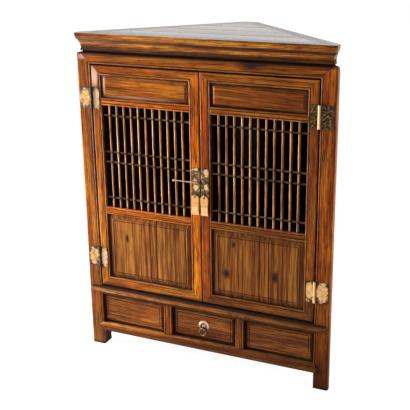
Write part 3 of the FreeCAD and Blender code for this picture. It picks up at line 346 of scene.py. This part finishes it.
def lacqueredElm(node, kind, along, rng):
    look = elm[kind]
    material, add = newMaterial("lacquered_elm_" + node)
    coords = add("TexCoord").outputs
    start = place = coords["Object"]
    parts = add("SeparateXYZ", (start,)).outputs
    turned = add("SeparateXYZ", (coords["Normal"],)).outputs
    outward = add("Math", (parts[0],), operation="ABSOLUTE")
    thin = kind in ("lattice", "bar")
    shadesAndSeams = []
    if node == "cornice_sides":  # both sides are alike, mirrored
        place = add("CombineXYZ", (outward, parts[1], parts[2]))
    if node in boardJoints:  # each board is cut from another place in the log, and the joints are dark
        direction, joints = boardJoints[node]
        reach = add("VectorMath", (place, direction), operation="DOT_PRODUCT")
        for joint in joints:
            off = add("Math", (reach, joint), operation="SUBTRACT")
            off = add("Math", (off,), operation="ABSOLUTE")
            shadesAndSeams.append(add("MapRange", (off, *elm["seamShow"])))
        past = [add("Math", (reach, joint), operation="GREATER_THAN") for joint in joints]
        shift = add("VectorMath", (combine(add, "ADD", past), elm["boardShift"]), operation="MULTIPLY")
        place = add("VectorMath", (place, shift), operation="ADD")
    heart, turn = grainFrame(node, along, rng, look.get("lean", elm["lean"]))
    log, long, short = [
        add("Mapping", {"Vector": place, "Location": heart, "Rotation": turn,
                        "Scale": (1, 1, look.get(name, elm[name]))}, vector_type="TEXTURE")
        for name in ("stretch", "lineStretch", "fleckStretch")]
    sources = {"fibre": log, "band": log, "pore": short, "line": long, "patch": start}
    if not thin:
        sources["rub"] = start
    noise = {}
    for name, source in sources.items():
        width, detail, roughness = elm[name + "Noise"]
        noise[name] = add("TexNoise", {"Vector": source, "Scale": 1 / width, "Detail": detail,
                                       "Roughness": roughness})
    eyes = []
    for centre, halves in knots.get(node, ()):  # dark, and torn along the fibres
        off = add("Math", (awayFrom(add, start, centre, halves), elm["knotRagged"] / 2), operation="ADD")
        torn = add("Math", (noise["fibre"], -elm["knotRagged"], off), operation="MULTIPLY_ADD")
        eyes.append(add("MapRange", (torn, *elm["knotFade"])))
    swing = 0.0
    if eyes:  # the rings swing round a knot
        darkEyes = combine(add, "MAXIMUM", eyes)
        swing = add("Math", (darkEyes, elm["knotSwing"]), operation="MULTIPLY")
    ringScale = 2 * math.pi / elm["waveTurn"] / look["ring"]
    rings = add("TexWave", {**elm["ringWave"], "Vector": log, "Scale": ringScale, "Phase Offset": swing},
                wave_type="RINGS", rings_direction="Z", wave_profile="SIN")
    figure = add("Mix", {0: look.get("bands", elm["bands"]), 2: noise["fibre"], 3: noise["band"]})
    figure = add("Mix", {0: look["rings"], 2: figure, 3: rings.outputs["Fac"]})
    ramp = add("ValToRGB", (figure,))
    paint(ramp, look["tones"])
    pores = add("MapRange", (noise["pore"], *elm["poreShow"], 0.0, look.get("flecks", elm["flecks"])))
    lines = add("MapRange", (noise["line"], *elm["lineShow"], 0.0, look.get("lines", elm["lines"])))
    colour = layOver(add, ramp, [(pores, elm["pore"]), (lines, elm["pore"])])
    shade = add("MapRange", (noise["patch"], *elm["patchShade"]))
    colour = add("VectorMath", {0: colour, "Scale": shade}, operation="SCALE")
    if eyes:
        colour = layOver(add, colour, [(darkEyes, elm["grimeAndShade"])])
    # each piece's tint, partly painted light and shade
    if node in tintsAndShading:
        colour = add("VectorMath", (colour, tintsAndShading[node]), operation="MULTIPLY")
    soft = add("Bevel", {"Radius": elm["edgeRound"]}, samples=elm["bevelSamples"])
    if thin:
        # thin bars: a painted highlight along the edges, where the rounded normal bends away
        sharp = add("NewGeometry").outputs["Normal"]
        bend = add("VectorMath", (soft, sharp), operation="DOT_PRODUCT")
        edge = add("MapRange", (bend, *elm["barEdgeHighlight"]))
    else:  # rounds and beads, found by how little wood lies behind them, take a pale painted highlight mixed with wear
        ridge = add("AmbientOcclusion", {"Distance": elm["ridgeReach"]}, samples=elm["hollowSamples"],
                    inside=True, only_local=True)
        ridge = add("MapRange", (ridge.outputs["AO"], *elm["ridgeShow"]))
        rubbed = add("MapRange", (noise["rub"], *elm["rubShow"]))
        bent = add("Math", (turned[1],), operation="ABSOLUTE")
        bent = add("MapRange", (bent, *elm["bentShow"], 0.0, look.get("rub", elm["rub"])))
        edge = combine(add, "MULTIPLY", [ridge, rubbed, bent])
    # painted shade in hollows and quirks, where ambient occlusion finds little open space
    broad = (elm["hollowReach"], elm["hollowShow"])
    narrow = (look.get("reach", elm["reach"]), (*elm["quirkShow"], look.get("quirk", elm["quirk"]), 0.0))
    for distance, show in (broad, narrow):
        clear = add("AmbientOcclusion", {"Distance": distance}, samples=elm["hollowSamples"]).outputs["AO"]
        shadesAndSeams.append(add("MapRange", (clear, *show)))
    # painted shade, darker the further a face lies back in a recess
    if node in recessShade:
        shallow, deep, share = recessShade[node]
        recess = add("MapRange", (parts[1], shallow, deep, 0.0, share))
        if node in innerLimit:
            inner = add("Math", (outward, innerLimit[node]), operation="LESS_THAN")
            recess = combine(add, "MULTIPLY", [recess, inner])
        shadesAndSeams.append(recess)
    # bands of painted shade by height
    for upper, lower, first, last in heightShade.get(node, ()):
        within = add("Math", (parts[2], (upper + lower) / 2, (upper - lower) / 2), operation="COMPARE")
        band = add("MapRange", (parts[2], upper, lower, first, last))
        shadesAndSeams.append(combine(add, "MULTIPLY", [within, band]))
    # painted shade, deeper towards the right
    if node in sideShade:
        shadesAndSeams.append(add("MapRange", (parts[0], *sideShade[node])))
    if node in endDarkening:
        shadesAndSeams.append(add("MapRange", (outward, *endDarkening[node])))
    # the dark board seams and every painted shade, taken together
    shadeAndSeams = combine(add, "MAXIMUM", shadesAndSeams)
    # painted highlight lines along the nosings
    if node in nosingHighlights:
        upper, lower, share = nosingHighlights[node]
        within = add("Math", (parts[2], (upper + lower) / 2, (upper - lower) / 2), operation="COMPARE")
        nosingHighlight = combine(add, "MULTIPLY", [within, rubbed, share])
        edge = combine(add, "MAXIMUM", [edge, nosingHighlight])
    unshaded = add("Math", (1.0, shadeAndSeams), operation="SUBTRACT")
    layers = [(combine(add, "MULTIPLY", [edge, unshaded]), elm["wearAndHighlight"]), (shadeAndSeams, elm["grimeAndShade"])]
    # pale painted reflections with ragged edges
    for centre, halves, share in paintedReflections.get(node, ()):
        off = awayFrom(add, start, centre, halves)
        reflectionShare = add("Math", (noise["fibre"], elm["paintedReflectionRagged"], off), operation="MULTIPLY_ADD")
        layers.append((add("MapRange", (reflectionShare, *elm["paintedReflectionFade"], share, 0.0)), elm["paintedReflection"]))
    if node in shadedFaceNodes:
        direction, limit = shadedFaceNodes[node]
        facing = add("VectorMath", (coords["Normal"], direction), operation="DOT_PRODUCT")
        layers.append((add("Math", (facing, limit), operation="LESS_THAN"), elm["insideShade"]))
    colour = layOver(add, colour, layers)
    if node.startswith("cornice"):  # the upper face is finished like the top, with a pale painted highlight along its front edge
        lid = add("ValToRGB", (figure,))
        paint(lid, elm["top"]["tones"])
        upward = add("MapRange", (turned[2], *elm["lidUpward"]))
        front = add("MapRange", (parts[1], *elm["lidFrontHighlight"]))
        colour = add("Mix", {0: upward, 6: colour, 7: lid}, data_type="RGBA")
        colour = layOver(add, colour, [(combine(add, "MULTIPLY", [upward, front]), elm["lidEdgeHighlight"])])
    smooth, dry = look["rough"]
    rough = add("MapRange", (figure, *elm["figureLevels"], dry, smooth))
    rough = combine(add, "MAXIMUM", [rough, combine(add, "MULTIPLY", [shadeAndSeams, elm["dirtRough"]])])
    relief = add("Bump", {"Strength": elm["poreStrength"], "Distance": elm["poreDepth"],
                          "Height": noise["fibre"], "Normal": soft})
    shader = add("BsdfPrincipled", {"IOR": elm["ior"], "Specular IOR Level": look.get("gloss", elm["gloss"]),
                                    "Base Color": colour, "Roughness": rough, "Normal": relief})
    add("OutputMaterial", {"Surface": shader})
    return material


def dressWood():
    for number, node in enumerate(sorted(boards)):
        kind, along = boards[node]
        dress(node, lacqueredElm(node, kind, along, np.random.default_rng(elm["seed"] + number)))


dressWood()
print("wood dressed:", len(boards), "nodes")


# Sheet brass, cut and hammered, long handled: bright in the middle of each plate, with brown-black tarnish
# that comes in from the corners and edges.
brass = {  # tones are the bright, the dull and the dark one
    "hinge": {"tones": ("#d9ae78", "#a17c4c", "#33240f"), "rough": (0.52, 0.66), "cover": 0.02},
    "paleHinge": {"tones": ("#d8b28c", "#a4825a", "#33240f"), "rough": (0.52, 0.66), "cover": 0.02},
    "lock": {"tones": ("#cda678", "#745a3a", "#20170c"), "rough": (0.46, 0.64), "cover": 0.13},
    "small": {"tones": ("#c39c66", "#80603a", "#2a1e10"), "rough": (0.40, 0.56), "cover": 0.06},
    "worn": {"tones": ("#e0b27a", "#c08c54", "#5a3a1e"), "rough": (0.50, 0.60), "cover": -0.06},
    "white": {"tones": ("#d9b79a", "#a07a60", "#2e1d12"), "rough": (0.36, 0.52), "cover": -0.02},
    "nail": {"tones": ("#7a5a34", "#4a3420", "#1a1008"), "rough": (0.45, 0.60), "cover": 0.06},
    "ring": {"tones": ("#c4a68e", "#5f4836", "#1e140c"), "rough": (0.30, 0.50), "cover": 0.10},
    "bronze": "#1f1307",
    "fleck": "#b08a60",
    # width of each pattern in metres, its detail and its roughness
    "stainNoise": (0.009, 4.0, 0.65),
    "hammerNoise": (0.007, 1.0, 0.5),
    "raggedNoise": (0.014, 3.0, 0.6),
    # where a mask begins and ends, and its value at each
    "cornerTarnish": (0.4, 0.9, 0.30, 0.0),
    "leafBorder": (1.58, 2.02, -0.06, 0.36),
    "knuckleTarnish": (-0.1, 0.1, 0.26, -0.12),  # the left ones are dull
    "pinTarnish": (-0.1, 0.1, 0.22, 0.0),
    "neglect": (-0.1, 0.1, 0.28, 0.97),  # the upper hinges, most of all the right one
    "rubFade": (1.40, 1.75, -0.36, 0.0),
    "dullShow": (0.42, 0.60, 0.0, 1.0),
    "darkShow": (0.60, 0.74, 0.0, 1.0),
    "fleckShow": (0.46, 0.66, 0.0, 0.42),
    "tagUpper": (0.567, 0.568, 0.0, 0.65),  # above the crease where each hanging tag is bent
    "tagRim": (0.0105, 0.0135, 0.0, 0.55),
    "rosettePattern": (0.62, 0.74, 0.24, 0.0),
    "rosetteShade": (0.150, 0.132, -0.06, 0.16),
    "metalShow": (0.0, 1.0, 1.0, 0.35),
    "cornerReach": 0.005,
    "leafStain": 0.65,
    "leafRagged": 1.6,
    "rubRagged": 1.2,
    "edgeRound": 0.0006,
    "cornerSamples": 8,
    "bevelSamples": 4,
    "dentStrength": 0.3,
    "dentDepth": 0.0004,
    "hingeMiddle": 0.614,  # halfway between the upper and lower hinges
    "hingeRise": 0.277,  # from there to the middle of each hinge
    "hingeHalf": 0.035,
    "hingeLine": 0.3845,
    "knuckle": 0.0046,
    "tagLine": 0.016,
    "rosetteMiddle": (0.0, 0.142),
    "rosetteHalves": (0.019, 0.019),
}
leafMiddles = {  # across from the centre line, and half width
    "frame_hinge_leaves": (0.4090, 0.0200), "left_door_hinge_leaves": (0.3680, 0.0130),
    "right_door_hinge_leaves": (0.3680, 0.0130),
}
leafTarnish = {  # from the left hinges to the right ones
    "frame_hinge_leaves": (-0.1, 0.1, 0.10, 0.0), "left_door_hinge_leaves": (-0.1, 0.1, -0.06, 0.0),
    "right_door_hinge_leaves": (-0.1, 0.1, 0.0, 0.0),
}
rubbedPlaces = {  # where a plate is rubbed bright: place on the front, half width and half height
    "left_door_lock_plate": (((-0.0162, 0.6302), (0.0080, 0.0090)), ((-0.0180, 0.6500), (0.0070, 0.0070)),
                             ((-0.0140, 0.6900), (0.0060, 0.0045))),
    "right_door_lock_plate": (((0.0205, 0.6823), (0.0075, 0.0110)), ((0.0198, 0.6345), (0.0075, 0.0080))),
    "drawer_rosette": (((0.0, 0.1420), (0.0050, 0.0050)),),
}
brassNodes = {
    "small": ["hinge_pins", "left_door_lock_eyes", "right_door_lock_eyes"],
    "nail": ["frame_nails", "left_door_nails", "right_door_nails"],
    "lock": ["left_door_lock_plate", "right_door_lock_plate"],
    "worn": ["left_pull", "right_pull"],
    "white": ["lock_pin", "drawer_rosette"],
    "ring": ["drawer_ring_eye", "drawer_ring"],
    "hinge": ["frame_hinge_leaves", "right_door_hinge_leaves"],
    "paleHinge": ["left_door_hinge_leaves"],
}


def agedBrass(node, kind):
    look = brass[kind]
    brightTone, dullTone, darkTone = look["tones"]
    isLeaf = node in leafMiddles
    material, add = newMaterial(f"{node}_sheet_brass")
    place = add("TexCoord").outputs["Object"]
    parts = add("SeparateXYZ", (place,)).outputs
    outward = add("Math", (parts[0],), operation="ABSOLUTE")
    noise = {}
    for name in ("stain", "hammer", "ragged") if isLeaf else ("stain", "hammer"):
        width, detail, roughness = brass[name + "Noise"]
        noise[name] = add("TexNoise", {"Vector": place, "Scale": 1 / width, "Detail": detail,
                                       "Roughness": roughness})
    clear = add("AmbientOcclusion", {"Distance": brass["cornerReach"]}, samples=brass["cornerSamples"])
    clear = clear.outputs["AO"]
    covers = [add("MapRange", (clear, *brass["cornerTarnish"])), look["cover"]]
    stains = noise["stain"]
    if isLeaf:  # tarnish comes in unevenly from the corners, and the knuckle is rubbed bright
        across, halfWidth = leafMiddles[node]
        evenness = (1 - brass["leafStain"]) / 2
        stains = add("Math", (stains, brass["leafStain"], evenness), operation="MULTIPLY_ADD")
        folded = add("VectorMath", (place, (0, 0, brass["hingeMiddle"])), operation="SUBTRACT")
        folded = add("VectorMath", (folded,), operation="ABSOLUTE")
        off = awayFrom(add, folded, (across, brass["hingeRise"]), (halfWidth, brass["hingeHalf"]))
        off = add("Math", (noise["ragged"], brass["leafRagged"], off), operation="MULTIPLY_ADD")
        border = add("MapRange", (off, *brass["leafBorder"]))
        line = add("Math", (outward, brass["hingeLine"], brass["knuckle"]), operation="COMPARE")
        plain = add("Math", (1.0, line), operation="SUBTRACT")
        knuckle = add("MapRange", (parts[0], *brass["knuckleTarnish"]))
        covers.append(combine(add, "MULTIPLY", [border, plain]))
        covers.append(combine(add, "MULTIPLY", [line, knuckle]))
        covers.append(add("MapRange", (parts[0], *leafTarnish[node])))
        high = add("Math", (parts[2], brass["hingeMiddle"]), operation="GREATER_THAN")
        neglected = add("MapRange", (parts[0], *brass["neglect"]))
        neglected = combine(add, "MULTIPLY", [neglected, high, plain])
    if node == "hinge_pins":
        covers.append(add("MapRange", (parts[0], *brass["pinTarnish"])))
    if node == "drawer_rosette":  # dark pattern between rim and boss
        off = awayFrom(add, place, brass["rosetteMiddle"], brass["rosetteHalves"])
        covers.append(add("MapRange", (off, *brass["rosettePattern"])))
        covers.append(add("MapRange", (parts[2], *brass["rosetteShade"])))
    for centre, halves in rubbedPlaces.get(node, ()):
        off = awayFrom(add, place, centre, halves)
        off = add("Math", (noise["hammer"], brass["rubRagged"], off), operation="MULTIPLY_ADD")
        covers.append(add("MapRange", (off, *brass["rubFade"])))
    cover = combine(add, "ADD", covers + [stains])
    dull = add("MapRange", (cover, *brass["dullShow"]))
    dark = add("MapRange", (cover, *brass["darkShow"]))
    colour = add("Mix", {0: dull, 6: toLinear(brightTone), 7: toLinear(dullTone)}, data_type="RGBA")
    layers = []
    if kind == "worn":  # duller above the crease and along the outline
        rim = add("Math", (outward, brass["tagLine"]), operation="SUBTRACT")
        rim = add("Math", (rim,), operation="ABSOLUTE")
        layers.append((add("MapRange", (parts[2], *brass["tagUpper"])), dullTone))
        layers.append((add("MapRange", (rim, *brass["tagRim"])), darkTone))
    layers.append((dark, darkTone))
    if isLeaf:
        flecks = add("MapRange", (noise["hammer"], *brass["fleckShow"]))
        layers.append((neglected, brass["bronze"]))
        layers.append((combine(add, "MULTIPLY", [neglected, flecks]), brass["fleck"]))
    colour = layOver(add, colour, layers)
    metal = add("MapRange", (dark, *brass["metalShow"]))
    rough = add("MapRange", (dull, 0.0, 1.0, *look["rough"]))
    soft = add("Bevel", {"Radius": brass["edgeRound"]}, samples=brass["bevelSamples"])
    dents = add("Bump", {"Strength": brass["dentStrength"], "Distance": brass["dentDepth"],
                         "Height": noise["hammer"], "Normal": soft})
    shader = add("BsdfPrincipled", {"Base Color": colour, "Metallic": metal, "Roughness": rough,
                                    "Normal": dents})
    add("OutputMaterial", {"Surface": shader})
    return material


for kind, names in brassNodes.items():
    for node in names:
        dress(node, agedBrass(node, kind))
print("brass dressed:", sum(map(len, brassNodes.values())), "nodes")


# Stage: a plain white floor and a white surround; lamps are soft boxes
stage = {"floorReach": 9.0, "floor": "#909090", "floorRough": 0.9, "glow": 0.93, "ambient": 0.13}
white = (1, 1, 1, 1)


def seenDirectly(add):  # one for rays from the eye, off gloss or through glass, none for light on the object
    rays = add("LightPath").outputs
    return combine(add, "MAXIMUM", [rays[f"Is {kind} Ray"] for kind in ("Camera", "Glossy", "Transmission")])


def makeFloor():
    mesh = bpy.data.meshes.new("floor")
    reach = stage["floorReach"]
    corners = [(-reach, -reach, 0), (reach, -reach, 0), (reach, reach, 0), (-reach, reach, 0)]
    mesh.from_pydata(corners, [], [(0, 1, 2, 3)])
    floor = bpy.data.objects.new("floor", mesh)
    scene.collection.objects.link(floor)
    material, add = newMaterial("painted_floor")
    glow = combine(add, "MULTIPLY", [seenDirectly(add), stage["glow"]])
    shader = add("BsdfPrincipled", {"Base Color": toLinear(stage["floor"]), "Roughness": stage["floorRough"],
                                    "Emission Color": white, "Emission Strength": glow})
    add("OutputMaterial", {"Surface": shader})
    mesh.materials.append(material)


def makeWorld():
    world = bpy.data.worlds.new("studio")
    scene.world = world
    world.use_nodes = True
    world.node_tree.nodes.clear()
    add = partial(addNode, world.node_tree)
    strength = add("MapRange", {0: seenDirectly(add), 3: stage["ambient"], 4: 1.0})
    sky = add("Background", {"Color": white, "Strength": strength})
    add("OutputWorld", {"Surface": sky})


lamps = {
    "window": {"place": (-1.55, -0.62, 0.51), "aim": (0.0, -0.2, 0.56), "size": (0.35, 1.08), "watts": 38.0},
    "key": {"place": (-1.5, -1.0, 1.6), "aim": (-0.1, -0.2, 0.75), "size": (1.3, 1.3), "watts": 14.0},
    "strip": {"place": (-1.6, -0.32, 0.50), "aim": (0.0, -0.25, 0.52), "size": (0.32, 1.10), "watts": 28.0},
    "rim": {"place": (1.6, 0.17, 0.40), "aim": (0.4, -0.1, 0.60), "size": (0.4, 1.2), "watts": 15.0},
    "fill": {"place": (1.6, -2.6, 1.2), "aim": (0.0, -0.2, 0.5), "size": (1.4, 1.4), "watts": 3.0},
    "back": {"place": (-0.9, 2.4, 1.8), "aim": (0.0, 0.0, 1.0), "size": (2.4, 0.8), "watts": 5.0},
}


def makeLamps():
    for name, lamp in lamps.items():
        data = bpy.data.lights.new(name, "AREA")
        data.shape = "RECTANGLE"
        data.size, data.size_y = lamp["size"]
        data.energy = lamp["watts"]
        light = bpy.data.objects.new(name, data)
        light.location = lamp["place"]
        direction = Vector(lamp["aim"]) - Vector(lamp["place"])
        light.rotation_euler = direction.to_track_quat("-Z", "Y").to_euler()
        scene.collection.objects.link(light)


makeFloor()
makeWorld()
makeLamps()
print("stage lit")
